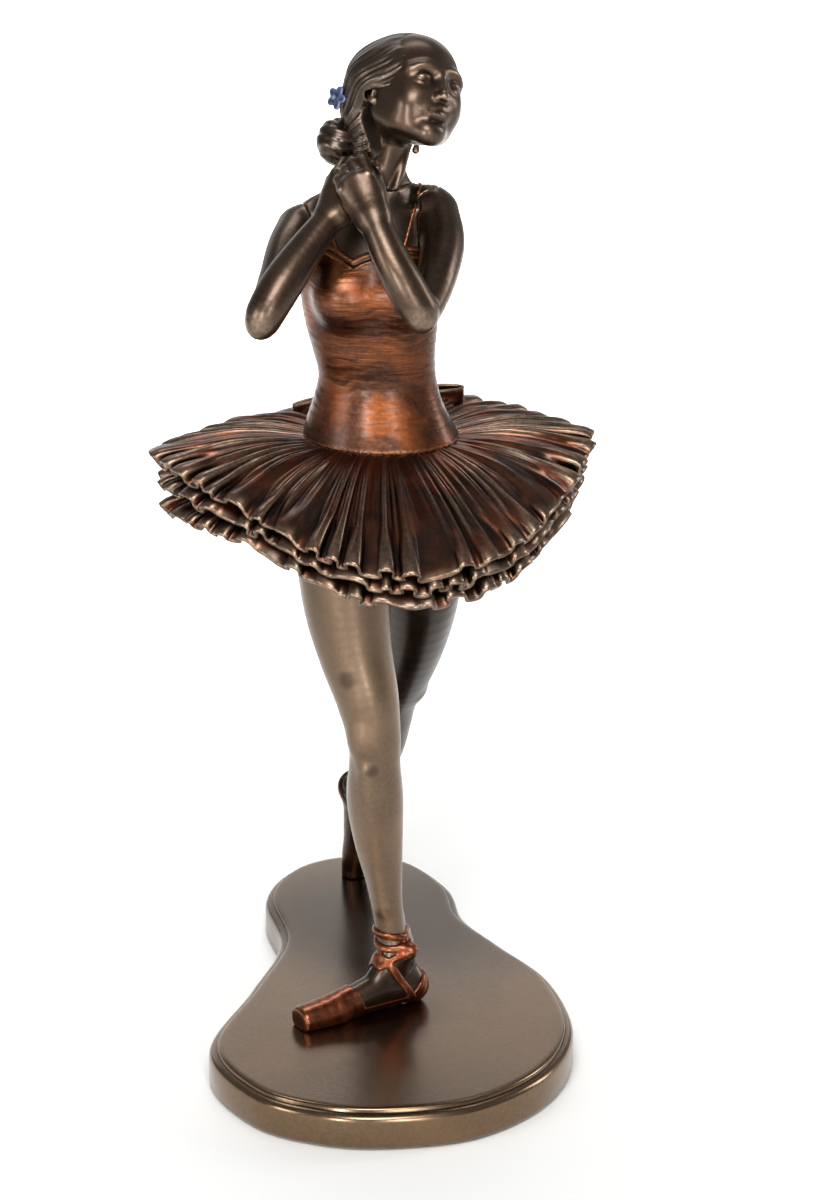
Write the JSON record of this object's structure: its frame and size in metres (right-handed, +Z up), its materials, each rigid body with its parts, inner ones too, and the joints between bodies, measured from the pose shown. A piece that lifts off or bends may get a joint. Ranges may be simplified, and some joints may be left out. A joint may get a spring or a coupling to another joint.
{
  "type": "statuette",
  "caption": "Bronze-finish ballerina statuette standing on a guitar-shaped plinth, hands raised to the side of the neck, for display on a shelf or table",
  "frame": {"origin": "middle of the plinth's footprint, on the underside of the felt pad, which rests on the table", "axes": "+Z up through the dancer, -Y the way the dancer and the plinth's wide end face, +X to the dancer's left; the plinth's long axis lies along Y"},
  "size_m": [0.1195, 0.1749, 0.2847],
  "materials": {
    "plinth_bronze": "satin brown bronze patina",
    "tights_bronze": "satin pale bronze patina",
    "skin_bronze": "satin dark bronze patina",
    "hair_bronze": "dark bronze patina with rubbed highlights",
    "bodice_copper": "satin red copper patina",
    "skirt_copper": "dark red copper patina with rubbed pale edges",
    "costume_copper": "satin red copper patina",
    "flower_blue": "satin blue-grey paint",
    "felt": "dark green felt",
    "steel": "plain zinc-plated steel"
  },
  "bodies": {
    "root": {"felt_pad": "felt", "plinth": "plinth_bronze", "standing_foot_screw": "steel", "trailing_foot_screw": "steel", "standing_foot_washer": "steel", "trailing_foot_washer": "steel", "standing_leg": "tights_bronze", "trailing_leg": "tights_bronze", "standing_slipper": "costume_copper", "trailing_slipper": "costume_copper", "standing_ankle_ribbon": "costume_copper", "trailing_ankle_ribbon": "costume_copper", "hips": "costume_copper", "bodice": "bodice_copper", "chest": "skin_bronze", "head": "skin_bronze", "hair": "hair_bronze", "hair_bun": "hair_bronze", "hair_flower": "flower_blue", "earring": "skin_bronze", "right_arm": "skin_bronze", "left_arm": "skin_bronze", "right_strap": "bodice_copper", "left_strap": "bodice_copper", "skirt_top_layer": "skirt_copper", "skirt_middle_layer": "skirt_copper", "skirt_under_layer": "skirt_copper", "neckline_trim": "bodice_copper", "waist_piping": "bodice_copper", "back_bow": "skirt_copper", "neck_dowel": "steel", "waist_dowel": "steel", "right_hip_dowel": "steel", "left_hip_dowel": "steel", "right_shoulder_dowel": "steel", "left_shoulder_dowel": "steel"}
  },
  "joints": []
}
